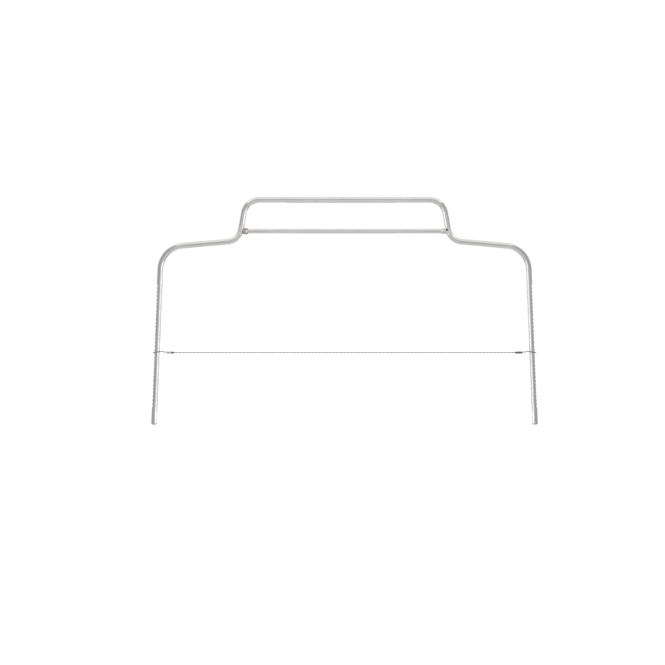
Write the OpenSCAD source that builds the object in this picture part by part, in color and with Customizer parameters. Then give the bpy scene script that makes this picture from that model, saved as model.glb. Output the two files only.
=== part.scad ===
/* [Frame rod] */
// Diameter of the one bent rod that forms legs, shoulders and handle
rod_d = 5; // [4.5:0.1:6]
// Width of the handle between its upper corners, measured before the bends round them
handle_w = 168; // [120:1:220]
// Rise of the risers from their lower corners to the handle bar
riser_h = 34.9; // [32:0.1:60]
// How far each riser stands further out at its lower corner than at the handle
riser_lean = 6.1; // [2:0.1:10]
// Run of each shoulder from its inner corner out to its outer corner
shoulder_run = 66.5; // [50:0.5:90]
// Rise of each shoulder from its outer corner to its inner corner
shoulder_rise = 5.8; // [0:0.1:10]
// Height of the outer shoulder corners above the table
leg_h = 151.4; // [143:0.1:200]
// How far each leg stands further out at the table than at its shoulder corner
leg_splay = 6.2; // [2:0.1:10]
// Centreline radius of the outer shoulder bends
shoulder_bend_r = 21; // [12:0.2:28]
// Centreline radius of the inner bends at the foot of the risers
inner_bend_r = 13.3; // [8:0.1:16]
// Centreline radius of the upper bends at the handle bar
handle_bend_r = 13.2; // [8:0.1:16]
// Rounding of the edge of each leg end
foot_round = 1.6; // [0.6:0.1:2]
// Depth of the small flat ground on each leg end where it stands
foot_flat = 0.1; // [0.08:0.01:0.2]
// Height of the faint ring that is left where a bend begins or ends
seam_height = 0.01; // [0.005:0.005:0.02]
// Width of that ring
seam_w = 0.3; // [0.2:0.1:0.6]

/* [Crossbar and welds] */
// Diameter of the crossbar
crossbar_d = 4; // [3:0.1:4.6]
// Height of the crossbar's centre above the lower corners of the risers
crossbar_up = 8.2; // [7:0.1:14]
// Length of each weld bead along the crossbar, from the rod
weld_length = 2.6; // [1.5:0.1:4]
// Height of each weld bead above the crossbar
weld_height = 0.9; // [0.5:0.1:1.4]
// Height of the thin edge where the bead runs out on the crossbar
weld_toe = 0.15; // [0.1:0.05:0.3]

/* [Notches] */
// Number of notches on each leg
notch_count = 32; // [20:1:34]
// Spacing of the notches along the leg
notch_pitch = 3.3; // [2.6:0.05:3.4]
// Distance of the lowest notch from the table, along the leg
notch_start = 16; // [12:0.5:18]
// Depth of the shallow land that the notches are cut in
land_depth = 0.3; // [0.1:0.05:0.4]
// Depth of each notch below the land
notch_depth = 0.75; // [0.3:0.05:1]
// Width of each notch at the land
notch_w = 1.9; // [0.8:0.1:2.4]

/* [Cutting wire and loops] */
// Diameter of the twisted cutting wire
wire_d = 0.85; // [0.6:0.05:1]
// Notch that the loops lie at, counted up from the lowest one
wire_notch = 15; // [4:1:20]
// Diameter of the wire of the loops
loop_wire_d = 0.7; // [0.5:0.05:0.8]
// Gap between each loop and the land of its leg, so that it slides freely
loop_gap = 0.6; // [0.2:0.05:0.9]
// Distance from the leg's centreline to the neck where the two strands part
loop_neck = 5.5; // [5:0.1:7]
// Inside bend of each strand at the neck, to its centreline
neck_bend_r = 1; // [0.6:0.1:1.5]

/* [Ferrules] */
// Height of each crimped ferrule
ferrule_h = 1.9; // [1.7:0.1:2.4]
// Wall of the ferrule beside the strands
ferrule_wall = 0.35; // [0.25:0.05:0.6]
// Spacing of the two strands in the ferrule
strand_spacing = 1; // [0.95:0.05:1.4]
// Height of the strands above the cutting wire in the ferrule
strand_rise = 0.3; // [0:0.05:0.3]
// Running clearance round each strand in its bore
strand_clear = 0.05; // [0.03:0.01:0.08]
// Length of strand that stays in the ferrule with the wire at its lowest
strand_grip = 0.6; // [0.4:0.1:1.5]
// Space left before the strand meets the end of its bore or its bend meets the ferrule
end_clear = 0.2; // [0.1:0.05:0.5]
// Length of cutting wire held in each ferrule
wire_grip = 1; // [0.6:0.1:3]
// Clearance round the cutting wire in the crimp
crimp_clear = 0.01; // [0.005:0.005:0.02]
// Depth of the crimp marks pressed into the ferrule
crimp_depth = 0.2; // [0.1:0.05:0.25]
// Radius of the jaw that presses the crimp marks
crimp_r = 0.55; // [0.4:0.05:0.6]

/* [Hidden] */
$fn = 64;

rod_r = rod_d / 2;
steel = "silver";
burnt = "dimgray";
crimp_metal = "gray";

// Corners of the rod's centreline on the right, in the plane of width and height
handle_mid = [0, leg_h + shoulder_rise + riser_h];
handle = handle_mid + [handle_w / 2, 0];
riser = handle + [riser_lean, -riser_h];
shoulder = riser + [shoulder_run, -shoulder_rise];
foot = shoulder + [leg_splay, -leg_h];

// Angle of each leg from upright
splay = atan2(leg_splay, leg_h);
crossbar_z = riser[1] + crossbar_up;
// Place across the width where the crossbar's axis meets that of the riser
joint_x = riser[0] - crossbar_up * riser_lean / riser_h;

function unit(v) = v / norm(v);
// Angle that the centreline turns through at corner b on its way from a to c
function turn(a, b, c) = acos(unit(b - a) * unit(c - b));
// Length that a bend of radius r takes from each straight at corner b
function setback(a, b, c, r) = r * tan(turn(a, b, c) / 2);
// Point on the way from corner b towards p, at distance d
function toward(b, p, d) = b + unit(p - b) * d;

shoulder_set = setback(foot, shoulder, riser, shoulder_bend_r);
riser_set = setback(shoulder, riser, handle, inner_bend_r);
handle_set = setback(riser, handle, handle_mid, handle_bend_r);
// Hairline left between a straight and a bend, closed by the ring round it
seam_gap = seam_w / 10;
loop_seam_w = seam_w / 2;
loop_seam_gap = loop_seam_w / 10;

// Places along the leg, from the table
notch_low = notch_start;
notch_top = notch_start + (notch_count - 1) * notch_pitch;
loop_at = notch_start + (wire_notch - 1) * notch_pitch;
// How far the loops draw in towards the middle at the top notch, and out at the lowest
draw_in = (notch_top - loop_at) * sin(splay);
draw_out = (loop_at - notch_low) * sin(splay);

// Shape of a loop, in the plane square to its leg
loop_r = rod_r + loop_gap + loop_wire_d / 2;
strand_y = strand_spacing / 2;
neck_angle = asin(loop_r / norm([loop_neck, strand_y])) - atan2(strand_y, loop_neck);
neck_set = neck_bend_r * tan(neck_angle / 2);
neck_x = loop_neck + neck_set;

// Place of the loop's neck, where the strands leave the plane of the loop
neck_at = [
    foot[0] - loop_at * sin(splay) - neck_x * cos(splay),
    loop_at * cos(splay) - neck_x * sin(splay)
];
strand_z = neck_at[1];
wire_z = strand_z - strand_rise;
ferrule_out = neck_at[0] - draw_in - end_clear;
strand_end = ferrule_out - draw_out - strand_grip;
bore_end = strand_end - draw_in - end_clear;
wire_end = bore_end - end_clear;
ferrule_in = wire_end - wire_grip;
bore_d = loop_wire_d + 2 * strand_clear;
// How far a hole's cutter runs out past the face that it starts from
run_out = loop_wire_d;
ferrule_w = strand_spacing + bore_d + 2 * ferrule_wall;

// Straight round bar between two points of the plane of width and height
module bar(a, b, d) {
    run = b - a;
    translate([a[0], 0, a[1]])
        rotate([0, atan2(run[0], run[1]), 0])
            cylinder(d = d, h = norm(run));
}

// Straight stretch of the rod between two bends, with the ring that joins it to each
module stretch(a, b, set_a, set_b) {
    from = toward(a, b, set_a);
    to = toward(b, a, set_b);
    bar(toward(a, b, set_a + seam_gap), toward(b, a, set_b + seam_gap), rod_d);
    for (end = [[from, to], [to, from]])
        bar(toward(end[0], end[1], -seam_w / 2), toward(end[0], end[1], seam_w / 2), rod_d + 2 * seam_height);
}

// Round bend at corner b of the centreline from a to c
module bend(a, b, c, r) {
    angle = turn(a, b, c);
    inward = unit(unit(a - b) + unit(c - b));
    centre = b + inward * r / cos(angle / 2);
    mid = atan2(-inward[1], -inward[0]);
    translate([centre[0], 0, centre[1]])
        rotate([90, 0, 0])
            rotate([0, 0, mid - angle / 2])
                rotate_extrude(angle = angle)
                    translate([r, 0])
                        circle(d = rod_d);
}

// Frame of the right leg: up along the leg, with the first axis pointing outward
module on_leg() {
    translate([foot[0], 0, 0])
        rotate([0, -splay, 0])
            children();
}

// Left and right copies of what is drawn for the right
module both_sides() {
    for (side = [0, 1])
        mirror([side, 0, 0])
            children();
}

// Leg with its rounded end, which reaches just below the table
module leg() {
    straight = norm(shoulder - foot) - shoulder_set - seam_gap + foot_flat;
    on_leg()
        translate([0, 0, -foot_flat])
            rotate_extrude() {
                translate([0, foot_round])
                    square([rod_r, straight - foot_round]);
                square([rod_r - foot_round, foot_round]);
                intersection() {
                    translate([rod_r - foot_round, foot_round])
                        circle(r = foot_round);
                    square([rod_r, 2 * foot_round]);
                }
            }
}

// Right side of the rod without its notches
module side_of_rod() {
    leg();
    on_leg()
        translate([0, 0, norm(shoulder - foot) - shoulder_set - seam_w / 2])
            cylinder(r = rod_r + seam_height, h = seam_w);
    bend(foot, shoulder, riser, shoulder_bend_r);
    stretch(shoulder, riser, shoulder_set, riser_set);
    riser_bends();
}

// Inner bend, riser and upper bend, which also trim the crossbar and the welds
module riser_bends() {
    bend(shoulder, riser, handle, inner_bend_r);
    stretch(riser, handle, riser_set, handle_set);
    bend(riser, handle, handle_mid, handle_bend_r);
}

// Row of notches with the land round them, as one toothed cutter on the outer side of the leg
module notch_row() {
    land = rod_r - land_depth;
    low = notch_low - notch_pitch / 2;
    high = notch_top + notch_pitch / 2;
    teeth = [
        for (i = [0 : notch_count - 1])
            each [
                [land, notch_low + i * notch_pitch - notch_w / 2],
                [land - notch_depth, notch_low + i * notch_pitch],
                [land, notch_low + i * notch_pitch + notch_w / 2]
            ]
    ];
    outline = concat([[rod_d, low], [land, low]], teeth, [[land, high], [rod_d, high]]);
    on_leg()
        rotate([90, 0, 0])
            linear_extrude(2 * rod_d, center = true)
                polygon(outline);
}

module frame_rod() {
    color(steel)
        difference() {
            union() {
                both_sides()
                    side_of_rod();
                stretch(handle, [-handle[0], handle[1]], handle_set, handle_set);
            }
            both_sides()
                notch_row();
            // The table, which grinds the leg ends flat
            translate([-foot[0] - rod_d, -rod_d, -rod_d])
                cube([2 * (foot[0] + rod_d), 2 * rod_d, rod_d]);
        }
}

module crossbar() {
    color(steel)
        difference() {
            bar([-riser[0], crossbar_z], [riser[0], crossbar_z], crossbar_d);
            both_sides()
                riser_bends();
            // Stubs left beyond the risers
            both_sides()
                translate([joint_x, -crossbar_d, crossbar_z - crossbar_d])
                    cube([riser[0], 2 * crossbar_d, 2 * crossbar_d]);
        }
}

// Weld bead round the right end of the crossbar, lying against the rod
module weld() {
    crossbar_r = crossbar_d / 2;
    side_x = joint_x - rod_r;
    color(burnt)
        difference() {
            union() {
                bar([side_x - weld_length / 2, crossbar_z], [joint_x, crossbar_z], crossbar_d + 2 * weld_height);
                translate([side_x - weld_length / 2, 0, crossbar_z])
                    rotate([0, -90, 0])
                        cylinder(r1 = crossbar_r + weld_height, r2 = crossbar_r + weld_toe, h = weld_length / 2);
            }
            bar([0, crossbar_z], [riser[0], crossbar_z], crossbar_d);
            riser_bends();
        }
}

module weld_left() {
    mirror([1, 0, 0])
        weld();
}

module weld_right() {
    weld();
}

module cutting_wire() {
    color(steel)
        bar([crimp_clear - wire_end, wire_z], [wire_end - crimp_clear, wire_z], wire_d);
}

// Mark of the crimping tool across the top or the bottom of the right ferrule
module crimp_mark(x, up) {
    translate([x, 0, wire_z + up * (ferrule_h / 2 + crimp_r - crimp_depth)])
        rotate([90, 0, 0])
            cylinder(r = crimp_r, h = 2 * ferrule_w, center = true);
}

// Crimped sleeve at the right end of the cutting wire
module ferrule() {
    side_y = (ferrule_w - ferrule_h) / 2;
    length = ferrule_out - ferrule_in;
    color(crimp_metal)
        difference() {
            translate([ferrule_in, 0, wire_z])
                rotate([90, 0, 90])
                    linear_extrude(length) {
                        square([2 * side_y, ferrule_h], center = true);
                        for (side = [-1, 1])
                            translate([side * side_y, 0])
                                circle(d = ferrule_h);
                    }
            // Hole that holds the cutting wire
            bar([ferrule_in - run_out, wire_z], [wire_end, wire_z], wire_d + 2 * crimp_clear);
            // Bores that the strands of the loop run in
            for (side = [-1, 1])
                translate([0, side * strand_y, 0])
                    bar([bore_end, strand_z], [ferrule_out + run_out, strand_z], bore_d);
            for (up = [-1, 1])
                crimp_mark(ferrule_in + wire_grip / 2, up);
            // Two more marks below, evenly spaced along the strands
            for (i = [2, 3])
                crimp_mark(ferrule_in + length * i / 4, -1);
        }
}

module ferrule_left() {
    mirror([1, 0, 0])
        ferrule();
}

module ferrule_right() {
    ferrule();
}

// Faint ring that joins two lengths of the loop's wire, across its first axis
module wire_seam() {
    rotate([0, 90, 0])
        cylinder(r = loop_wire_d / 2 + seam_height, h = loop_seam_w, center = true);
}

// Straight length of the loop's wire from the origin along the first axis
module wire_length(length) {
    translate([loop_seam_gap, 0, 0])
        rotate([0, 90, 0])
            cylinder(d = loop_wire_d, h = length - 2 * loop_seam_gap);
}

// Loop round the right leg, square to the leg, with both strands leading into the ferrule
module loop() {
    side_run = norm([loop_neck, strand_y]) * cos(asin(loop_r / norm([loop_neck, strand_y]))) - neck_set;
    color(steel) {
        on_leg()
            translate([0, 0, loop_at]) {
                rotate([0, 0, -90 - neck_angle])
                    rotate_extrude(angle = 180 + 2 * neck_angle)
                        translate([loop_r, 0])
                            circle(d = loop_wire_d);
                for (side = [0, 1])
                    mirror([0, side, 0]) {
                        translate([-neck_x, strand_y + neck_bend_r, 0])
                            rotate([0, 0, -90])
                                rotate_extrude(angle = neck_angle)
                                    translate([neck_bend_r, 0])
                                        circle(d = loop_wire_d);
                        rotate([0, 0, neck_angle])
                            translate([-side_run, loop_r, 0]) {
                                wire_length(side_run);
                                wire_seam();
                                translate([side_run, 0, 0])
                                    wire_seam();
                            }
                    }
            }
        for (side = [-1, 1]) {
            translate([strand_end - loop_seam_gap, side * strand_y, strand_z])
                wire_length(neck_at[0] - strand_end + loop_seam_gap);
            translate([neck_at[0], side * strand_y, strand_z])
                wire_seam();
        }
    }
}

module loop_left() {
    mirror([1, 0, 0])
        loop();
}

module loop_right() {
    loop();
}

frame_rod();
crossbar();
weld_left();
weld_right();
cutting_wire();
ferrule_left();
ferrule_right();
loop_left();
loop_right();
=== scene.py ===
import math

import bmesh
import bpy
from bpy.props import FloatProperty, FloatVectorProperty, IntProperty, PointerProperty
from mathutils import Matrix, Vector, noise


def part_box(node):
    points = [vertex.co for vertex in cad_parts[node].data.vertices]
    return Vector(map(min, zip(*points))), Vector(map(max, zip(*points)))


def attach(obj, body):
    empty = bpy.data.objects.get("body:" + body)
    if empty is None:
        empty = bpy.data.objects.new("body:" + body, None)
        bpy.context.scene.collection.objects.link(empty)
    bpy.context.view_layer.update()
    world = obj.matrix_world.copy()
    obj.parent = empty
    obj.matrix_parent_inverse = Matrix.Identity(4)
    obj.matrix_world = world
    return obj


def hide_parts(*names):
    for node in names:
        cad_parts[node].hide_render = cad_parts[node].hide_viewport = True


bl_info = {
    "name": "Cake leveler",
    "version": (1, 0, 0),
    "blender": (4, 5, 0),
    "location": "3D View > Sidebar > Cake leveler",
    "description": "Rod frame, welds, twisted wire, ferrules, loops and stage of a wire cake leveler",
    "category": "Object",
}

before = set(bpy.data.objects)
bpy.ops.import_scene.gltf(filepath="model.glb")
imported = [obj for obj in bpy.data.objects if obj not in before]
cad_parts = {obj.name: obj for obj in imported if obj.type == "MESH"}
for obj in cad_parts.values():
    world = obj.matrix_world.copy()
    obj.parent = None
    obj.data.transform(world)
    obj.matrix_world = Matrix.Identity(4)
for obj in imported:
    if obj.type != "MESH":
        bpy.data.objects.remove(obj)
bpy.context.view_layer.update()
MM = 0.001
ORIGIN = Vector((0.0, 0.0, 0.0))
SIDES = {"left": -1, "right": 1}

# Places that come from the frame, taken on the right where a piece has a twin
WIRE_LOW, WIRE_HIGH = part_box("cutting_wire")
FERRULE_LOW, FERRULE_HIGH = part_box("ferrule_right")
BAR_LOW, BAR_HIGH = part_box("crossbar")
WIRE_Z = (WIRE_LOW.z + WIRE_HIGH.z) / 2
CROSSBAR_Z = (BAR_LOW.z + BAR_HIGH.z) / 2
STRAND_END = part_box("loop_right")[0].x


class LevelerRod(bpy.types.PropertyGroup):
    """Sizes of the bent rod, the crossbar and the welds"""

    rod_diameter: FloatProperty(
        name="Rod", description="Diameter of the bent rod", unit="LENGTH", default=5 * MM
    )
    handle_width: FloatProperty(
        name="Handle width",
        description="Between the upper corners",
        unit="LENGTH",
        default=168 * MM,
    )
    riser_height: FloatProperty(
        name="Riser height",
        description="From lower corner to handle bar",
        unit="LENGTH",
        default=34.9 * MM,
    )
    riser_lean: FloatProperty(
        name="Riser lean",
        description="How far a riser stands out at its foot",
        unit="LENGTH",
        default=6.1 * MM,
    )
    shoulder_run: FloatProperty(
        name="Shoulder run",
        description="From inner to outer corner",
        unit="LENGTH",
        default=66.5 * MM,
    )
    shoulder_rise: FloatProperty(
        name="Shoulder rise",
        description="Rise towards the middle",
        unit="LENGTH",
        default=5.8 * MM,
    )
    leg_height: FloatProperty(
        name="Leg height",
        description="From the table to the outer corner",
        unit="LENGTH",
        default=151.4 * MM,
    )
    leg_splay: FloatProperty(
        name="Leg splay",
        description="How far a leg stands out at the table",
        unit="LENGTH",
        default=6.2 * MM,
    )
    shoulder_bend: FloatProperty(
        name="Shoulder bend", description="Centreline radius", unit="LENGTH", default=21 * MM
    )
    inner_bend: FloatProperty(
        name="Inner bend", description="Centreline radius", unit="LENGTH", default=13.3 * MM
    )
    handle_bend: FloatProperty(
        name="Handle bend", description="Centreline radius", unit="LENGTH", default=13.2 * MM
    )
    foot_round: FloatProperty(
        name="Foot rounding",
        description="Rounding of each leg end",
        unit="LENGTH",
        default=1.6 * MM,
    )
    foot_flat: FloatProperty(
        name="Foot flat",
        description="Depth ground off each leg end",
        unit="LENGTH",
        default=0.1 * MM,
    )
    crossbar_diameter: FloatProperty(
        name="Crossbar", description="Diameter of the crossbar", unit="LENGTH", default=4 * MM
    )
    weld_length: FloatProperty(
        name="Weld length",
        description="Length of a bead along the crossbar",
        unit="LENGTH",
        default=3.8 * MM,
    )
    weld_height_left: FloatProperty(
        name="Left weld",
        description="Height of the left bead above the crossbar",
        unit="LENGTH",
        default=0.6 * MM,
    )
    weld_height_right: FloatProperty(
        name="Right weld",
        description="Height of the right bead above the crossbar",
        unit="LENGTH",
        default=0.35 * MM,
    )


class LevelerNotches(bpy.types.PropertyGroup):
    """Sizes of the notches"""

    count: IntProperty(name="Notches", description="Notches on each leg", default=32)
    pitch: FloatProperty(
        name="Pitch", description="Spacing along the leg", unit="LENGTH", default=3.3 * MM
    )
    start: FloatProperty(
        name="Lowest notch", description="Distance from the table", unit="LENGTH", default=16 * MM
    )
    land: FloatProperty(
        name="Land depth", description="Depth of the land", unit="LENGTH", default=0.3 * MM
    )
    depth: FloatProperty(
        name="Notch depth", description="Depth below the land", unit="LENGTH", default=0.75 * MM
    )
    width: FloatProperty(
        name="Notch width", description="Width at the land", unit="LENGTH", default=1.9 * MM
    )


class LevelerWire(bpy.types.PropertyGroup):
    """Sizes of the wire, the ferrules and the loops"""

    lay: FloatProperty(
        name="Lay",
        description="Length of one full twist of the wire",
        unit="LENGTH",
        default=6.1 * MM,
    )
    strand_rise: FloatProperty(
        name="Strand rise",
        description="Height of the strands above the wire",
        unit="LENGTH",
        default=0.48 * MM,
    )
    strand_gap: FloatProperty(
        name="Strand spacing",
        description="Between the strands of a loop",
        unit="LENGTH",
        default=1 * MM,
    )
    loop_wire: FloatProperty(
        name="Loop wire",
        description="Diameter of the loops' wire",
        unit="LENGTH",
        default=0.7 * MM,
    )
    loop_gap: FloatProperty(
        name="Loop gap", description="Between a loop and its leg", unit="LENGTH", default=0.6 * MM
    )
    loop_neck: FloatProperty(
        name="Loop neck",
        description="From the leg to where the strands part",
        unit="LENGTH",
        default=4.2 * MM,
    )
    neck_bend: FloatProperty(
        name="Neck bend", description="Bend of a strand at the neck", unit="LENGTH", default=1 * MM
    )
    loop_tilt: FloatProperty(
        name="Loop tilt",
        description="How a loop dips away from the wire",
        subtype="ANGLE",
        default=math.radians(7),
    )
    strand_dip: FloatProperty(
        name="Strand dip",
        description="Slope of a strand down to its ferrule",
        subtype="ANGLE",
        default=math.radians(45),
    )
    strand_bend: FloatProperty(
        name="Strand bend",
        description="Bend radius of a strand's dip",
        unit="LENGTH",
        default=0.6 * MM,
    )
    loop_notch: IntProperty(name="Loop notch", description="Notch that the loops lie at", default=15)
    crimp: FloatProperty(
        name="Crimp", description="Depth of the crimp marks", unit="LENGTH", default=0.2 * MM
    )


class LevelerFinish(bpy.types.PropertyGroup):
    """Colours of the metals"""

    steel_colour: FloatVectorProperty(
        name="Steel",
        description="Colour of the polished rod",
        subtype="COLOR",
        default=(0.88, 0.88, 0.87),
    )
    wire_colour: FloatVectorProperty(
        name="Wire",
        description="Colour of the cutting wire",
        subtype="COLOR",
        default=(0.43, 0.43, 0.42),
    )
    loop_colour: FloatVectorProperty(
        name="Loops",
        description="Colour of the leg loops",
        subtype="COLOR",
        default=(0.30, 0.30, 0.29),
    )
    ferrule_colour: FloatVectorProperty(
        name="Ferrules",
        description="Colour of the crimped sleeves",
        subtype="COLOR",
        default=(0.22, 0.22, 0.19),
    )
    # Painted sheen: the left sleeve's paler look is light that it reflects, painted into its colour
    painted_sheen_colour: FloatVectorProperty(
        name="Ferrule painted sheen",
        description="Colour of the painted sheen on the left sleeve",
        subtype="COLOR",
        default=(0.70, 0.70, 0.67),
    )
    weld_colour: FloatVectorProperty(
        name="Welds",
        description="Colour of the browned welds",
        subtype="COLOR",
        default=(0.34, 0.315, 0.29),
    )
    tint_colour: FloatVectorProperty(
        name="Heat tint",
        description="Tint of the steel beside a weld",
        subtype="COLOR",
        default=(0.74, 0.68, 0.63),
    )


class LevelerStage(bpy.types.PropertyGroup):
    """Framing of the camera"""

    distance: FloatProperty(
        name="Camera distance",
        description="From the camera to the frame",
        unit="LENGTH",
        default=1.4,
    )
    half_view: FloatProperty(
        name="Half view",
        description="Half of the picture's width at the frame",
        unit="LENGTH",
        default=0.2842,
    )
    aim_x: FloatProperty(
        name="Aim across",
        description="Where the camera looks, across",
        unit="LENGTH",
        default=-10.3 * MM,
    )
    aim_z: FloatProperty(
        name="Aim up",
        description="Where the camera looks, above the floor",
        unit="LENGTH",
        default=78.8 * MM,
    )


GROUPS = {
    "leveler_rod": LevelerRod,
    "leveler_notches": LevelerNotches,
    "leveler_wire": LevelerWire,
    "leveler_finish": LevelerFinish,
    "leveler_stage": LevelerStage,
}


# Geometry of the bent centreline


def corners(rod):
    """Corners of the rod's centreline on the right: foot, shoulder, riser, handle and middle."""
    middle = Vector((0.0, 0.0, rod.leg_height + rod.shoulder_rise + rod.riser_height))
    handle = middle + Vector((rod.handle_width / 2, 0.0, 0.0))
    riser = handle + Vector((rod.riser_lean, 0.0, -rod.riser_height))
    shoulder = riser + Vector((rod.shoulder_run, 0.0, -rod.shoulder_rise))
    foot = shoulder + Vector((rod.leg_splay, 0.0, -rod.leg_height))
    return foot, shoulder, riser, handle, middle


def leg_frame(rod):
    """Matrix from the right leg's own frame, first axis outward, to the frame of the whole."""
    splay = math.atan2(rod.leg_splay, rod.leg_height)
    return Matrix.Translation(corners(rod)[0]) @ Matrix.Rotation(-splay, 4, "Y")


def crossbar_joint(rod):
    """Place where the right end of the crossbar meets the riser's centreline."""
    _, _, riser, handle, _ = corners(rod)
    share = (CROSSBAR_Z - riser.z) / (handle.z - riser.z)
    return riser.lerp(handle, share)


# Rings and tubes

BEND_STEPS = 20


def once(items):
    """Each item once, in the order in which the items come."""
    return list(dict.fromkeys(items))


def new_mesh():
    """An empty bmesh with layers for the way round a wire and for ground places, whose depth the
    steel also uses for painted shade in the notches.
    """
    bm = bmesh.new()
    bm.verts.layers.float_vector.new("around")
    bm.verts.layers.float.new("ground")
    return bm


def ring(bm, radius, segments, matrix):
    """A round profile whose vertices carry the way that they face round the wire."""
    verts = bmesh.ops.create_circle(bm, segments=segments, radius=radius)["verts"]
    around = bm.verts.layers.float_vector["around"]
    for vert in verts:
        vert[around] = vert.co / radius
    bmesh.ops.transform(bm, matrix=matrix, verts=verts)
    return once(edge for vert in verts for edge in vert.link_edges)


def across_at(x, y, z):
    """Matrix that stands a ring across the width, so that it faces along it."""
    return Matrix.Translation((x, y, z)) @ Matrix.Rotation(math.pi / 2, 4, "Y")


def ring_verts(edges):
    """The vertices of a ring."""
    return once(vert for edge in edges for vert in edge.verts)


def edges_of(geometry):
    """The edges among the geometry that an operator gives back."""
    return [item for item in geometry if isinstance(item, bmesh.types.BMEdge)]


def extend(bm, edges, offset):
    """Lengthens a tube by one straight step and returns its new end."""
    geometry = bmesh.ops.extrude_edge_only(bm, edges=edges)["geom"]
    verts = [item for item in geometry if isinstance(item, bmesh.types.BMVert)]
    bmesh.ops.translate(bm, vec=offset, verts=verts)
    fresh = set(verts)
    return [edge for edge in edges_of(geometry) if fresh.issuperset(edge.verts)]


def turn(bm, edges, centre, axis, angle, steps):
    """Carries a tube round a bend and returns its new end."""
    geometry = ring_verts(edges) + list(edges)
    out = bmesh.ops.spin(bm, geom=geometry, cent=centre, axis=axis, angle=angle, steps=steps)
    return edges_of(out["geom_last"])


def bend_length(incoming, outgoing, radius):
    """Length that a bend takes from each straight beside its corner."""
    return radius * math.tan(incoming.angle(outgoing) / 2)


def bend(bm, edges, corner, incoming, outgoing, radius):
    """Carries a tube round the bend at a corner of the rod."""
    angle = incoming.angle(outgoing)
    centre = corner + (outgoing - incoming).normalized() * radius / math.cos(angle / 2)
    return turn(bm, edges, centre, incoming.cross(outgoing), angle, BEND_STEPS)


def cap(bm, edges):
    """Closes a tube's open end."""
    bmesh.ops.contextual_create(bm, geom=edges)


def finish_mesh(bm, name, sharp_degrees):
    """Turns a bmesh into an object with smooth faces and sharp edges where the surface folds."""
    bmesh.ops.recalc_face_normals(bm, faces=bm.faces)
    limit = math.radians(sharp_degrees)
    for face in bm.faces:
        face.smooth = True
    for edge in bm.edges:
        if len(edge.link_faces) == 2 and edge.calc_face_angle() > limit:
            edge.smooth = False
    mesh = bpy.data.meshes.new(name)
    bm.to_mesh(mesh)
    bm.free()
    obj = bpy.data.objects.new(name, mesh)
    bpy.context.scene.collection.objects.link(obj)
    return obj


def finish_side(bm, name, side, sharp_degrees):
    """Finishes a piece that was built for the right, mirrored where it is the left one."""
    if side == "left":
        bmesh.ops.scale(bm, vec=(-1, 1, 1), verts=bm.verts)
    return finish_mesh(bm, f"{name}_{side}", sharp_degrees)


def place(obj, body, node, slot, material):
    """Puts a finished piece on its body in place of its node."""
    obj.data.materials.append(material)
    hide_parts(node)
    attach(obj, body)
    return obj


# The bent rod

ROD_SEGMENTS = 48
ROD_SHARP = 25
FOOT_STEPS = 7
STEP_EDGE = 0.03 * MM
# Ground depth given to the land: it makes the land rougher and lays a little painted shade on it
LAND_GROUND_AND_SHADE = 0.25


def row_ends(notches):
    """Heights along a leg where the land of its notches begins and ends."""
    low = notches.start - notches.pitch / 2
    high = notches.start + (notches.count - 0.5) * notches.pitch
    return low, high


def notch_floor(height, rod, notches):
    """How far the outer side of a leg reaches from its axis at a height along the leg."""
    radius = rod.rod_diameter / 2
    low, high = row_ends(notches)
    if not low <= height <= high:
        return radius
    index = round((height - notches.start) / notches.pitch)
    index = min(max(index, 0), notches.count - 1)
    beside = abs(height - notches.start - index * notches.pitch) / (notches.width / 2)
    return radius - notches.land - notches.depth * max(0.0, 1.0 - beside)


def leg_heights(notches, top):
    """Heights along a leg where its shape changes."""
    low, high = row_ends(notches)
    heights = [low - STEP_EDGE, low]
    for index in range(notches.count):
        middle = notches.start + index * notches.pitch
        heights += [middle + share * notches.width / 2 for share in (-1, -0.5, 0, 0.5, 1)]
    return heights + [high, high + STEP_EDGE, top]


def build_foot(bm, rod):
    """Builds the rounded end of a leg and returns its upper ring and that ring's height."""
    tip_radius = rod.rod_diameter / 2 - rod.foot_round
    edges = ring(bm, tip_radius, ROD_SEGMENTS, Matrix.Translation((0, 0, -rod.foot_flat)))
    cap(bm, edges)
    height = -rod.foot_flat
    width = tip_radius
    for step in range(1, FOOT_STEPS + 1):
        angle = step / FOOT_STEPS * math.pi / 2
        new_width = tip_radius + rod.foot_round * math.sin(angle)
        new_height = -rod.foot_flat + rod.foot_round * (1 - math.cos(angle))
        edges = extend(bm, edges, (0, 0, new_height - height))
        scale = new_width / width
        bmesh.ops.scale(bm, vec=(scale, scale, 1), verts=ring_verts(edges))
        height, width = new_height, new_width
    return edges, height


def build_leg(bm, rod, notches, top):
    """Builds the right leg upright in its own frame and returns its upper ring."""
    edges, height = build_foot(bm, rod)
    for new_height in leg_heights(notches, top):
        edges = extend(bm, edges, (0, 0, new_height - height))
        height = new_height
    radius = rod.rod_diameter / 2
    deepest = notches.land + notches.depth
    ground = bm.verts.layers.float["ground"]
    for vert in bm.verts:
        floor = notch_floor(vert.co.z, rod, notches)
        if vert.co.x > floor:
            # The ground depth marks the rougher ground surface, and the steel also paints shade in
            # the notches from it
            vert[ground] = max(LAND_GROUND_AND_SHADE, (radius - floor) / deepest)
            vert.co.x = floor
    return edges


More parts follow.
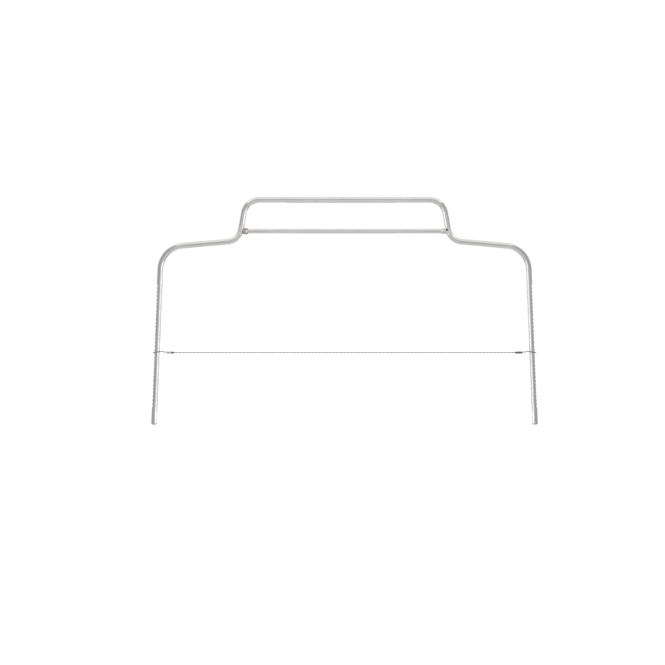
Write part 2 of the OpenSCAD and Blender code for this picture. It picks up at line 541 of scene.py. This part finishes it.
def build_rod(rod, notches):
    """The whole bent rod: one side from foot to middle, mirrored."""
    foot, shoulder, riser, handle, middle = corners(rod)
    up_leg = (shoulder - foot).normalized()
    along_shoulder = (riser - shoulder).normalized()
    up_riser = (handle - riser).normalized()
    along_handle = (middle - handle).normalized()
    shoulder_set = bend_length(up_leg, along_shoulder, rod.shoulder_bend)
    riser_set = bend_length(along_shoulder, up_riser, rod.inner_bend)
    handle_set = bend_length(up_riser, along_handle, rod.handle_bend)
    bm = new_mesh()
    edges = build_leg(bm, rod, notches, (shoulder - foot).length - shoulder_set)
    bmesh.ops.transform(bm, matrix=leg_frame(rod), verts=bm.verts)
    edges = bend(bm, edges, shoulder, up_leg, along_shoulder, rod.shoulder_bend)
    run = (riser - shoulder).length - shoulder_set - riser_set
    edges = extend(bm, edges, along_shoulder * run)
    edges = bend(bm, edges, riser, along_shoulder, up_riser, rod.inner_bend)
    run = (handle - riser).length - riser_set - handle_set
    edges = extend(bm, edges, up_riser * run)
    edges = bend(bm, edges, handle, up_riser, along_handle, rod.handle_bend)
    extend(bm, edges, along_handle * ((middle - handle).length - handle_set))
    whole = bm.verts[:] + bm.edges[:] + bm.faces[:]
    table = {"plane_co": ORIGIN, "plane_no": (0, 0, 1)}
    cut = bmesh.ops.bisect_plane(bm, geom=whole, clear_inner=True, **table)
    cap(bm, edges_of(cut["geom_cut"]))
    half = bm.verts[:] + bm.edges[:] + bm.faces[:]
    bmesh.ops.mirror(bm, geom=half, matrix=Matrix.Identity(4), merge_dist=MM / 100, axis="X")
    return finish_mesh(bm, "bent_rod", ROD_SHARP)


# Crossbar and welds

BAR_SEGMENTS = 40
BAR_SHARP = 40
BAR_END = 1.2 * MM


def build_crossbar(rod):
    """The crossbar, whose ends stand inside the rod."""
    end = crossbar_joint(rod).x - BAR_END
    bm = new_mesh()
    edges = ring(bm, rod.crossbar_diameter / 2, BAR_SEGMENTS, across_at(-end, 0, CROSSBAR_Z))
    cap(bm, edges)
    cap(bm, extend(bm, edges, (2 * end, 0, 0)))
    return finish_mesh(bm, "crossbar_rod", BAR_SHARP)


WELD_SEGMENTS = 56
WELD_STEPS = 26
WELD_SHARP = 60
WELD_START = 1.2 * MM
# How far a bead's end on the crossbar lies below the bar's surface
WELD_SINK = 0.1 * MM
# Powers that set where the bead is highest and how full its crown is
WELD_LEAN = 0.8
WELD_FULLNESS = 2.5
# Lumps of the beads: their height, how close they lie, the cut of the highest, how much finer
# the small ones are, and where the pattern of each bead begins
LUMP_HEIGHT = 0.16 * MM
LUMP_SCALE = 900
LUMP_LIMIT = 0.6
FINE_LUMPS = 2.3
LUMP_SEEDS = {"left": Vector((0, 0, -40)), "right": Vector((0, 0, 40))}
# Ripples of the right bead
RIPPLE_PITCH = 1.15 * MM
RIPPLE_DEPTH = 0.09 * MM
# The drop on the left bead and the pit beside the right one, from the crossbar's middle
DROP_PLACE = Vector((83.8 * MM, -2.5 * MM, -0.6 * MM))
DROP_RADIUS = 1.25 * MM
DROP_HEIGHT = 0.4 * MM
PIT_PLACE = Vector((87.4 * MM, -2.2 * MM, 1.1 * MM))


def weld_crown(share):
    """Height of a bead at a share of its length, from none at its ends to one at its crown."""
    return math.sqrt(max(0.0, 1 - abs(2 * share**WELD_LEAN - 1) ** WELD_FULLNESS))


def weld_lump(place, side):
    """Height of the lumps at a place on a bead, with its drop or its ripples."""
    seed = place * LUMP_SCALE + LUMP_SEEDS[side]
    lump = noise.noise(seed) + 0.5 * noise.noise(seed * FINE_LUMPS)
    height = min(lump, LUMP_LIMIT) * LUMP_HEIGHT
    if side == "left":
        away = (place - DROP_PLACE - Vector((0, 0, CROSSBAR_Z))).length / DROP_RADIUS
        return height + DROP_HEIGHT * math.sqrt(max(0.0, 1 - away**2))
    return height + RIPPLE_DEPTH * math.sin(2 * math.pi * place.x / RIPPLE_PITCH)


def build_weld(rod, side):
    """A lumpy bead round one end of the crossbar, run out on the bar and over the rod."""
    start = crossbar_joint(rod).x - WELD_START
    bar_radius = rod.crossbar_diameter / 2
    length = rod.rod_diameter / 2 - WELD_START + rod.weld_length
    height = rod.weld_height_left if side == "left" else rod.weld_height_right
    bm = new_mesh()
    turned = Matrix.Translation((start, 0, CROSSBAR_Z)) @ Matrix.Rotation(-math.pi / 2, 4, "Y")
    about = Matrix.Translation((0, 0, -CROSSBAR_Z))
    width = bar_radius
    edges = ring(bm, width, WELD_SEGMENTS, turned)
    cap(bm, edges)
    for step in range(1, WELD_STEPS + 1):
        new_width = bar_radius - WELD_SINK + (height + WELD_SINK) * weld_crown(step / WELD_STEPS)
        edges = extend(bm, edges, (-length / WELD_STEPS, 0, 0))
        scale = new_width / width
        bmesh.ops.scale(bm, vec=(1, scale, scale), space=about, verts=ring_verts(edges))
        width = new_width
    cap(bm, edges)
    for vert in bm.verts:
        away = Vector((0, vert.co.y, vert.co.z - CROSSBAR_Z))
        if away.length >= bar_radius:
            vert.co += away.normalized() * weld_lump(vert.co, side)
    return finish_side(bm, "weld_bead", side, WELD_SHARP)


# Cutting wire

STRAND_SEGMENTS = 10
STRAND_SHARP = 60
STEPS_PER_TWIST = 20
STRAND_SQUEEZE = 0.98


def build_cutting_wire(wire):
    """Two strands twisted round each other, held in both ferrules."""
    radius = (WIRE_HIGH.z - WIRE_LOW.z) / 4
    length = WIRE_HIGH.x - WIRE_LOW.x
    turns = round(length / wire.lay)
    lay = length / turns
    axis = {"cent": (WIRE_LOW.x, 0, WIRE_Z), "axis": (1, 0, 0)}
    twist = {"dvec": (lay / STEPS_PER_TWIST, 0, 0), "angle": 2 * math.pi, "steps": STEPS_PER_TWIST}
    repeat = {"dvec": (lay, 0, 0), "angle": 0, "steps": turns - 1, "use_duplicate": True}
    bm = new_mesh()
    for phase in (1, -1):
        start = across_at(WIRE_LOW.x, 0, WIRE_Z + phase * radius * STRAND_SQUEEZE)
        edges = ring(bm, radius, STRAND_SEGMENTS, start)
        bmesh.ops.spin(bm, geom=ring_verts(edges) + edges, **twist, **axis)
    one_lay = bm.verts[:] + bm.edges[:] + bm.faces[:]
    bmesh.ops.spin(bm, geom=one_lay, **repeat, **axis)
    bmesh.ops.remove_doubles(bm, verts=bm.verts, dist=MM / 1000)
    bmesh.ops.holes_fill(bm, edges=[edge for edge in bm.edges if edge.is_boundary])
    return finish_mesh(bm, "twisted_wire", STRAND_SHARP)


# Ferrules

FERRULE_SEGMENTS = 40
FERRULE_STEPS = 44
FERRULE_SHARP = 50
FERRULE_EDGE = 0.18 * MM
BORE_DEPTH = 4.95 * MM
BORE_RIM = 0.07 * MM
CRIMP_WIDTH = 0.55 * MM
# Shares of the sleeve's length where the jaws pressed it, above and below
CRIMPS_ABOVE = (0.11,)
CRIMPS_BELOW = (0.11, 0.5, 0.75)


def crimp_dent(x, above, wire):
    """Depth of the crimp marks at a place along the right ferrule, above or below."""
    length = FERRULE_HIGH.x - FERRULE_LOW.x
    dent = 0.0
    for share in CRIMPS_ABOVE if above else CRIMPS_BELOW:
        away = (x - FERRULE_LOW.x - share * length) / CRIMP_WIDTH
        dent = max(dent, wire.crimp * max(0.0, 1 - away * away))
    return dent


def edge_inset(x):
    """How far the rounded edges of the right ferrule draw its surface in."""
    end = min(x - FERRULE_LOW.x, FERRULE_HIGH.x - x)
    return FERRULE_EDGE - math.sqrt(max(0.0, FERRULE_EDGE**2 - max(0.0, FERRULE_EDGE - end) ** 2))


def build_ferrule(wire, side):
    """A crimped oval sleeve with rounded edges, an open bore and pressed marks."""
    half_height = (FERRULE_HIGH.z - FERRULE_LOW.z) / 2
    half_width = (FERRULE_HIGH.y - FERRULE_LOW.y) / 2
    spread = half_width - half_height
    length = FERRULE_HIGH.x - FERRULE_LOW.x
    bm = new_mesh()
    edges = ring(bm, half_height, FERRULE_SEGMENTS, across_at(FERRULE_LOW.x, 0, WIRE_Z))
    for vert in ring_verts(edges):
        if abs(vert.co.y) > MM / 1000:
            vert.co.y += math.copysign(spread, vert.co.y)
    first = edges
    for _ in range(FERRULE_STEPS):
        edges = extend(bm, edges, (length / FERRULE_STEPS, 0, 0))
    for vert in bm.verts:
        above = vert.co.z - WIRE_Z
        share = abs(above) / half_height
        inset = edge_inset(vert.co.x)
        sunk = (crimp_dent(vert.co.x, above > 0, wire) + inset) * share
        vert.co.z -= math.copysign(min(sunk, abs(above)), above)
        vert.co.y -= math.copysign(inset * abs(vert.co.y) / half_width, vert.co.y)
    cap(bm, first)
    mouth = bmesh.ops.contextual_create(bm, geom=edges)["faces"]
    bmesh.ops.inset_region(bm, faces=mouth, thickness=BORE_RIM)
    inner = bmesh.ops.extrude_discrete_faces(bm, faces=mouth)["faces"]
    bore_end = once(vert for face in inner for vert in face.verts)
    bmesh.ops.translate(bm, vec=(-BORE_DEPTH, 0, 0), verts=bore_end)
    return finish_side(bm, "crimped_sleeve", side, FERRULE_SHARP)


# Loops

LOOP_SEGMENTS = 16
LOOP_STEPS = 40
LOOP_SHARP = 60
NECK_STEPS = 6


def lead_strand_in(bm, edges, neck, wire):
    """Leads a strand from the neck of its loop down into the ferrule."""
    tilt, dip, radius = wire.loop_tilt, wire.strand_dip, wire.strand_bend
    across = Vector((0, 1, 0))
    centre = neck - radius * Vector((math.sin(tilt), 0, math.cos(tilt)))
    edges = turn(bm, edges, centre, -across, tilt + dip, NECK_STEPS)
    bends_drop = radius * (math.cos(tilt) - math.cos(dip) + 1 - math.cos(dip))
    slope = Vector((-math.cos(dip), 0, -math.sin(dip)))
    square_to_slope = Vector((-math.sin(dip), 0, math.cos(dip)))
    run = (neck.z - WIRE_Z - wire.strand_rise - bends_drop) / math.sin(dip)
    edges = extend(bm, edges, slope * run)
    foot = centre + radius * square_to_slope + slope * run
    centre = foot + radius * square_to_slope
    edges = turn(bm, edges, centre, across, dip, NECK_STEPS)
    cap(bm, extend(bm, edges, (STRAND_END - centre.x, 0, 0)))


def build_loop(rod, wire, notches, side):
    """One wire round a leg: strand, neck, half round the leg, and back to the ferrule."""
    loop_radius = rod.rod_diameter / 2 + wire.loop_gap + wire.loop_wire / 2
    strand_y = wire.strand_gap / 2
    reach = math.hypot(wire.loop_neck, strand_y)
    neck_angle = math.asin(loop_radius / reach) - math.atan2(strand_y, wire.loop_neck)
    neck_set = wire.neck_bend * math.tan(neck_angle / 2)
    neck_x = wire.loop_neck + neck_set
    neck_y = strand_y + wire.neck_bend
    side_run = math.sqrt(reach**2 - loop_radius**2) - neck_set
    height = notches.start + (wire.loop_notch - 1) * notches.pitch
    up = Vector((0, 0, 1))
    bm = new_mesh()
    first_end = ring(bm, wire.loop_wire / 2, LOOP_SEGMENTS, across_at(-neck_x, -strand_y, 0))
    edges = turn(bm, first_end, (-neck_x, -neck_y, 0), -up, neck_angle, NECK_STEPS)
    outward = Vector((math.cos(neck_angle), -math.sin(neck_angle), 0))
    edges = extend(bm, edges, outward * side_run)
    edges = turn(bm, edges, ORIGIN, up, math.pi + 2 * neck_angle, LOOP_STEPS)
    back = Vector((-math.cos(neck_angle), -math.sin(neck_angle), 0))
    edges = extend(bm, edges, back * side_run)
    edges = turn(bm, edges, (-neck_x, neck_y, 0), -up, neck_angle, NECK_STEPS)
    at_leg = Matrix.Translation(leg_frame(rod) @ Vector((0, 0, height)))
    tilted = at_leg @ Matrix.Rotation(wire.loop_tilt, 4, "Y")
    bmesh.ops.transform(bm, matrix=tilted, verts=bm.verts)
    for end in (first_end, edges):
        lead_strand_in(bm, end, tilted @ Vector((-neck_x, 0, 0)), wire)
    return finish_side(bm, "leg_loop", side, LOOP_SHARP)


# Materials

# Distances from a mark's middle where it begins and where it is full
HEAT_TINT = (6.5 * MM, 2.5 * MM)
INNER_BEND_WEAR = (14 * MM, 4 * MM)
OTHER_BEND_WEAR = (16 * MM, 5 * MM)
WELD_PIT = (1.5 * MM, 0.8 * MM)
BRIGHT_DROP = (1.4 * MM, 1.0 * MM)
# Distances from the left sleeve's inner end where its painted sheen begins and where it is full
PAINTED_SHEEN_PART = (1.9 * MM, 2.5 * MM)


class Nodes:
    """Shorthand for making and linking a metal's nodes."""

    def __init__(self, name):
        self.material = bpy.data.materials.new(name)
        self.material.use_nodes = True
        self.tree = self.material.node_tree
        self.shader = self.tree.nodes["Principled BSDF"]
        self.shader.inputs["Metallic"].default_value = 1.0

    def fill(self, socket, value):
        """Links or sets an input."""
        if isinstance(value, bpy.types.NodeSocket):
            self.tree.links.new(value, socket)
        else:
            socket.default_value = value

    def node(self, kind, inputs=None, **settings):
        """A node with its settings, and its inputs linked or set."""
        made = self.tree.nodes.new("ShaderNode" + kind)
        for key, value in settings.items():
            setattr(made, key, value)
        for key, value in (inputs or {}).items():
            self.fill(made.inputs[key], value)
        return made

    def math(self, operation, first, second=0.0):
        """A sum, product or the like of two values."""
        return self.node("Math", {0: first, 1: second}, operation=operation).outputs[0]

    def vector(self, operation, first, second):
        """A sum, product or distance of two vectors."""
        made = self.node("VectorMath", {0: first, 1: second}, operation=operation)
        return made.outputs["Value" if operation == "DISTANCE" else "Vector"]

    def ramp(self, value, low, high, to_low=0.0, to_high=1.0):
        """A smooth step from one value to another."""
        ends = {"From Min": low, "From Max": high, "To Min": to_low, "To Max": to_high}
        made = self.node("MapRange", {"Value": value, **ends}, interpolation_type="SMOOTHSTEP")
        return made.outputs["Result"]

    def noise(self, vector, scale=1.0, detail=4.0, roughness=0.55):
        """Cloudy values round a half."""
        inputs = {"Vector": vector, "Scale": scale, "Detail": detail, "Roughness": roughness}
        return self.node("TexNoise", inputs).outputs["Fac"]

    def mix(self, share, first, second):
        """A colour between two others."""
        return self.node("Mix", {0: share, 6: first, 7: second}, data_type="RGBA").outputs[2]

    def bump(self, height, distance, strength=1.0, below=None):
        """Relief of a height in metres, on top of what lies below it."""
        inputs = {"Height": height, "Distance": distance, "Strength": strength}
        if below is not None:
            inputs["Normal"] = below
        return self.node("Bump", inputs).outputs["Normal"]

    def position(self):
        """Place on the piece."""
        return self.node("TexCoord").outputs["Object"]

    def across(self):
        """Place across the width."""
        return self.node("SeparateXYZ", {0: self.position()}).outputs[0]

    def drawn_grain(self, around, along):
        """Streaks that run along a drawn wire, from the way its surface faces round it."""
        facing = self.node("Attribute", attribute_name="around").outputs["Vector"]
        wide = self.vector("MULTIPLY", facing, (around,) * 3)
        slow = self.vector("MULTIPLY", self.position(), (along,) * 3)
        return self.vector("ADD", wide, slow)

    def distance(self, point):
        """Distance from a point and from its mirror image on the other side."""
        x, y, z = self.node("SeparateXYZ", {0: self.position()}).outputs
        folded = self.node("CombineXYZ", {0: self.math("ABSOLUTE", x), 1: y, 2: z}).outputs[0]
        return self.vector("DISTANCE", folded, point)

    def pit(self):
        """The dark pit where the right bead meets the rod."""
        place = PIT_PLACE + Vector((0, 0, CROSSBAR_Z))
        return self.ramp(self.vector("DISTANCE", self.position(), place), *WELD_PIT)

    def finished(self, colour, roughness, normal):
        """The material, with its colour, roughness and relief on the shader."""
        for name, value in (("Base Color", colour), ("Roughness", roughness), ("Normal", normal)):
            self.fill(self.shader.inputs[name], value)
        return self.material


def rgba(colour, gain=1.0):
    """A colour with its alpha, lighter or darker by a gain."""
    return (*(channel * gain for channel in colour), 1.0)


def polished_steel(rod, finish):
    """Drawn and polished stainless rod: fine streaks, bending marks, heat tint by the welds, and
    painted shade in the ground notches.
    """
    make = Nodes("polished_steel")
    steel = finish.steel_colour
    streaks = make.noise(make.drawn_grain(around=9.0, along=30.0), detail=6.0, roughness=0.62)
    clouds = make.noise(make.position(), scale=60.0, detail=3.0)
    fine = make.noise(make.position(), scale=2600.0, detail=2.0)
    heat = make.ramp(make.distance(crossbar_joint(rod)), *HEAT_TINT)
    _, shoulder, riser, handle, _ = corners(rod)
    worn = make.ramp(make.distance(riser), *INNER_BEND_WEAR)
    for corner in (shoulder, handle):
        less_worn = make.ramp(make.distance(corner), *OTHER_BEND_WEAR, to_high=0.7)
        worn = make.math("MAXIMUM", worn, less_worn)
    marks = make.noise(make.drawn_grain(around=6.0, along=240.0), detail=5.0)
    scuff = make.math("MULTIPLY", worn, make.ramp(marks, 0.45, 0.62))
    cut = make.node("Attribute", attribute_name="ground").outputs["Fac"]
    base = make.mix(make.ramp(clouds, 0.35, 0.7), rgba(steel, 0.94), rgba(steel))
    base = make.mix(make.math("MULTIPLY", scuff, 0.35), base, rgba(steel, 0.62))
    base = make.mix(make.math("MULTIPLY", heat, 0.35), base, rgba(finish.tint_colour))
    base = make.mix(make.pit(), base, rgba(finish.weld_colour, 0.6))
    # Painted shade: the notches, and the land a little, are darkened by their ground depth
    base = make.mix(make.ramp(cut, 0.1, 1.0, to_high=0.8), base, rgba(steel, 0.35))
    rough = make.ramp(streaks, 0.3, 0.7, to_low=0.12, to_high=0.2)
    for mark, rougher in ((scuff, 0.18), (heat, 0.25), (cut, 0.2)):
        rough = make.math("ADD", rough, make.math("MULTIPLY", mark, rougher))
    relief = make.bump(streaks, 0.02 * MM, 0.2)
    relief = make.bump(fine, 0.01 * MM, 0.15, relief)
    relief = make.bump(scuff, 0.05 * MM, 0.3, relief)
    return make.finished(base, rough, relief)


def wire_steel(name, colour):
    """Bright hard-drawn wire with fine die lines."""
    make = Nodes(name)
    streaks = make.noise(make.drawn_grain(around=5.0, along=300.0))
    dust = make.noise(make.position(), scale=900.0, detail=3.0)
    base = make.mix(make.ramp(dust, 0.35, 0.65), rgba(colour, 0.8), rgba(colour))
    rough = make.ramp(streaks, 0.3, 0.7, to_low=0.24, to_high=0.4)
    return make.finished(base, rough, make.bump(streaks, 0.008 * MM, 0.5))


def ferrule_metal(finish):
    """Dull sleeve metal, scuffed by the crimping jaws, with a painted sheen that makes the left
    sleeve pale.
    """
    make = Nodes("ferrule_metal")
    dull, painted_sheen = finish.ferrule_colour, finish.painted_sheen_colour
    mottle = make.noise(make.position(), scale=1400.0, detail=5.0, roughness=0.65)
    dents = make.noise(make.position(), scale=500.0, detail=2.0)
    patches = make.ramp(mottle, 0.35, 0.65)
    dark = make.mix(patches, rgba(dull, 0.6), rgba(dull, 1.35))
    # Painted sheen, mottled, laid on the left sleeve out from near its inner end
    pale = make.mix(patches, rgba(painted_sheen, 0.8), rgba(painted_sheen, 1.15))
    begins, full = (-FERRULE_LOW.x - away for away in PAINTED_SHEEN_PART)
    base = make.mix(make.ramp(make.across(), begins, full), dark, pale)
    rough = make.ramp(mottle, 0.3, 0.7, to_low=0.38, to_high=0.6)
    relief = make.bump(mottle, 0.03 * MM, 0.6)
    return make.finished(base, rough, make.bump(dents, 0.08 * MM, 0.5, relief))


def weld_steel(finish):
    """Heat-browned weld metal: a bright drop on the left bead, a dark pit by the right one."""
    make = Nodes("weld_steel")
    steel, weld, tint = finish.steel_colour, finish.weld_colour, finish.tint_colour
    drop_place = DROP_PLACE + Vector((0, 0, CROSSBAR_Z))
    on_right = make.ramp(make.across(), -MM, MM)
    on_left = make.math("SUBTRACT", 1.0, on_right)
    drop = make.math("MULTIPLY", on_left, make.ramp(make.distance(drop_place), *BRIGHT_DROP))
    scale = make.noise(make.position(), scale=700.0, detail=5.0, roughness=0.6)
    patches = make.ramp(scale, 0.35, 0.65)
    spots = make.ramp(make.noise(make.position(), scale=520.0, detail=3.0), 0.46, 0.6)
    brown = make.mix(patches, rgba(weld, 1.4), rgba(tint, 0.9))
    brown = make.mix(spots, brown, rgba(weld, 0.8))
    grey = make.mix(patches, rgba(tint, 1.1), rgba(steel, 0.9))
    base = make.mix(on_right, brown, grey)
    base = make.mix(drop, base, rgba(steel))
    base = make.mix(make.pit(), base, rgba(weld, 0.6))
    rough = make.ramp(scale, 0.3, 0.7, to_low=0.28, to_high=0.55)
    smoother = make.ramp(drop, 0.0, 1.0, to_low=1.0, to_high=0.5)
    relief = make.bump(scale, 0.08 * MM, 0.7)
    return make.finished(base, make.math("MULTIPLY", rough, smoother), relief)


# Stage

FLOOR_SIZE = 40.0
FLOOR_DROP = 0.5 * MM
FLOOR_WHITE = 0.8
FLOOR_GLOW = 0.42

# Cards that only the metal's reflections see: centre, width, height, brightness and facing.
# Those beside the frame are given for the right and stand on the left too.
SIDE_CARDS = {
    "near_flag": ((0.179, -0.055, 0.10), 0.13, 0.26, 0.37, "side"),
    "riser_flag": ((0.25, -0.135, 0.2275), 0.41, 0.055, 0.38, "side"),
    "bend_flag": ((0.104, -0.035, 0.2015), 0.1, 0.021, 0.42, "side"),
    "far_flag": ((0.45, 0.2, 0.10), 0.2, 0.6, 0.45, "side"),
    "side_light": ((0.6, -0.425, 0.12), 1.75, 0.6, 1.6, "side"),
    "bend_light": ((0.5, -0.25, 0.6), 0.9, 0.5, 1.12, "side"),
    "leg_flag": ((0.135, -0.25, 0.06), 0.11, 0.18, 0.5, "front"),
    "back_flag": ((0.235, 0.25, 0.10), 0.11, 0.26, 0.25, "front"),
    "back_light": ((0.10, 0.25, 0.10), 0.09, 0.26, 1.3, "front"),
}
MIDDLE_CARDS = {
    "front_flag": ((0.0, -0.6, 0.25), 0.5, 0.5, 0.45, "front"),
    "low_band": ((0.0, -0.4, 0.04), 0.24, 0.2, 0.74, "front"),
    "back_band": ((0.0, 0.7, 0.345), 0.56, 0.15, 0.12, "front"),
    "back_glow": ((0.0, 0.7, 0.17), 0.56, 0.2, 1.3, "front"),
}
FACINGS = {
    "up": Matrix.Identity(4),
    "front": Matrix.Rotation(math.pi / 2, 4, "X"),
    "side": Matrix.Rotation(math.pi / 2, 4, "Z") @ Matrix.Rotation(math.pi / 2, 4, "X"),
}
# Greys of the surround in reflections, each with its height from straight down to straight up
WORLD_GREYS = ((0.12, 0.64), (0.38, 0.53), (0.85, 0.84))


def matt(name, shade, glow):
    """A matt stage material, lifted by an even glow."""
    material = bpy.data.materials.new(name)
    material.use_nodes = True
    inputs = material.node_tree.nodes["Principled BSDF"].inputs
    inputs["Base Color"].default_value = (shade, shade, shade, 1.0)
    inputs["Roughness"].default_value = 1.0
    inputs["Specular IOR Level"].default_value = 0.0
    inputs["Emission Color"].default_value = (1.0, 1.0, 1.0, 1.0)
    inputs["Emission Strength"].default_value = glow
    return material


def flat_piece(name, centre, width, height, facing, material):
    """A flat piece of the stage."""
    bm = bmesh.new()
    bmesh.ops.create_grid(bm, x_segments=1, y_segments=1, size=0.5)
    bmesh.ops.scale(bm, vec=(width, height, 1), verts=bm.verts)
    bmesh.ops.transform(bm, matrix=Matrix.Translation(centre) @ FACINGS[facing], verts=bm.verts)
    mesh = bpy.data.meshes.new(name)
    bm.to_mesh(mesh)
    bm.free()
    mesh.materials.append(material)
    obj = bpy.data.objects.new(name, mesh)
    bpy.context.scene.collection.objects.link(obj)
    return obj


def reflection_card(name, centre, width, height, brightness, facing):
    """A glowing card that shows in reflections alone."""
    card = flat_piece(name, centre, width, height, facing, matt(name, 0.0, brightness))
    card.visible_camera = False
    card.visible_shadow = False
    card.visible_diffuse = False


def studio_world(scene):
    """An even white surround, greyer towards the horizon and below in reflections."""
    world = bpy.data.worlds.new("studio")
    scene.world = world
    world.use_nodes = True
    tree = world.node_tree
    background = tree.nodes["Background"]
    coordinates = tree.nodes.new("ShaderNodeTexCoord")
    parts = tree.nodes.new("ShaderNodeSeparateXYZ")
    ramp = tree.nodes.new("ShaderNodeValToRGB")
    ramp.color_ramp.elements.new(WORLD_GREYS[1][0])
    for stop, (height, grey) in zip(ramp.color_ramp.elements, WORLD_GREYS):
        stop.position = height
        stop.color = (grey, grey, grey, 1)
    half = tree.nodes.new("ShaderNodeMapRange")
    half.inputs["From Min"].default_value = -1.0
    path = tree.nodes.new("ShaderNodeLightPath")
    mix = tree.nodes.new("ShaderNodeMix")
    mix.data_type = "RGBA"
    mix.inputs[7].default_value = (1.0, 1.0, 1.0, 1.0)
    links = tree.links
    links.new(coordinates.outputs["Generated"], parts.inputs[0])
    links.new(parts.outputs["Z"], half.inputs["Value"])
    links.new(half.outputs["Result"], ramp.inputs["Fac"])
    links.new(path.outputs["Is Camera Ray"], mix.inputs[0])
    links.new(ramp.outputs["Color"], mix.inputs[6])
    links.new(mix.outputs[2], background.inputs["Color"])
    background.inputs["Strength"].default_value = 1.0


def photo_camera(scene):
    """A camera in front of the frame, at the height and distance of the picture."""
    stage = scene.leveler_stage
    camera_data = bpy.data.cameras.new("camera")
    camera_data.angle = 2 * math.atan(stage.half_view / stage.distance)
    camera_data.clip_end = 2.5 * FLOOR_SIZE
    camera = bpy.data.objects.new("camera", camera_data)
    camera.location = (stage.aim_x, -stage.distance, stage.aim_z)
    camera.rotation_euler = (math.pi / 2, 0.0, 0.0)
    scene.collection.objects.link(camera)
    scene.camera = camera


# Operators


class LEVELER_OT_frame(bpy.types.Operator):
    """Build the bent rod with its notches, and the crossbar"""

    bl_idname = "leveler.frame"
    bl_label = "Rod and crossbar"

    def execute(self, context):
        scene = context.scene
        steel = polished_steel(scene.leveler_rod, scene.leveler_finish)
        rod = build_rod(scene.leveler_rod, scene.leveler_notches)
        place(rod, "frame", "frame_rod", "polished_steel", steel)
        place(build_crossbar(scene.leveler_rod), "frame", "crossbar", "polished_steel", steel)
        return {"FINISHED"}


class LEVELER_OT_welds(bpy.types.Operator):
    """Build the two weld beads"""

    bl_idname = "leveler.welds"
    bl_label = "Weld beads"

    def execute(self, context):
        scene = context.scene
        metal = weld_steel(scene.leveler_finish)
        for side in SIDES:
            bead = build_weld(scene.leveler_rod, side)
            place(bead, "frame", f"weld_{side}", "weld_steel", metal)
        return {"FINISHED"}


class LEVELER_OT_wire(bpy.types.Operator):
    """Build the twisted cutting wire and its crimped ferrules"""

    bl_idname = "leveler.wire"
    bl_label = "Cutting wire and ferrules"

    def execute(self, context):
        scene = context.scene
        wire = scene.leveler_wire
        steel = wire_steel("wire_steel", scene.leveler_finish.wire_colour)
        metal = ferrule_metal(scene.leveler_finish)
        place(build_cutting_wire(wire), "wire", "cutting_wire", "wire_steel", steel)
        for side in SIDES:
            sleeve = build_ferrule(wire, side)
            place(sleeve, "wire", f"ferrule_{side}", "ferrule_metal", metal)
        return {"FINISHED"}


class LEVELER_OT_loops(bpy.types.Operator):
    """Build the wire loops round the legs"""

    bl_idname = "leveler.loops"
    bl_label = "Loops"

    def execute(self, context):
        scene = context.scene
        steel = wire_steel("loop_steel", scene.leveler_finish.loop_colour)
        for side in SIDES:
            loop = build_loop(scene.leveler_rod, scene.leveler_wire, scene.leveler_notches, side)
            place(loop, f"{side}_loop", f"loop_{side}", "wire_steel", steel)
        return {"FINISHED"}


class LEVELER_OT_stage(bpy.types.Operator):
    """Set the pale floor, the soft light, the reflection cards and the camera"""

    bl_idname = "leveler.stage"
    bl_label = "Stage"

    def execute(self, context):
        scene = context.scene
        scene.view_settings.view_transform = "Standard"
        studio_world(scene)
        white = matt("floor_white", FLOOR_WHITE, FLOOR_GLOW)
        under = (0, 0, -FLOOR_DROP)
        floor = flat_piece("floor", under, FLOOR_SIZE, FLOOR_SIZE, "up", white)
        floor.visible_glossy = False
        for name, card in MIDDLE_CARDS.items():
            reflection_card(name, *card)
        for name, ((x, y, z), *rest) in SIDE_CARDS.items():
            for side, sign in SIDES.items():
                reflection_card(f"{name}_{side}", (sign * x, y, z), *rest)
        photo_camera(scene)
        return {"FINISHED"}


class LEVELER_PT_panel(bpy.types.Panel):
    """Sizes, colours and steps of the leveler"""

    bl_idname = "LEVELER_PT_panel"
    bl_label = "Cake leveler"
    bl_space_type = "VIEW_3D"
    bl_region_type = "UI"
    bl_category = "Cake leveler"

    def draw(self, context):
        for key, group in GROUPS.items():
            box = self.layout.box()
            for name in group.__annotations__:
                box.prop(getattr(context.scene, key), name)
        for step in STEPS:
            self.layout.operator(step.bl_idname)


STEPS = (LEVELER_OT_frame, LEVELER_OT_welds, LEVELER_OT_wire, LEVELER_OT_loops, LEVELER_OT_stage)
CLASSES = (*GROUPS.values(), *STEPS, LEVELER_PT_panel)


def register():
    for cls in CLASSES:
        bpy.utils.register_class(cls)
    for key, group in GROUPS.items():
        setattr(bpy.types.Scene, key, PointerProperty(type=group))


def unregister():
    for key in GROUPS:
        delattr(bpy.types.Scene, key)
    for cls in reversed(CLASSES):
        bpy.utils.unregister_class(cls)


def main():
    """Builds the leveler's pieces and stage."""
    register()
    bpy.ops.leveler.frame()
    bpy.ops.leveler.welds()
    bpy.ops.leveler.wire()
    bpy.ops.leveler.loops()
    bpy.ops.leveler.stage()


if __name__ == "__main__":
    main()
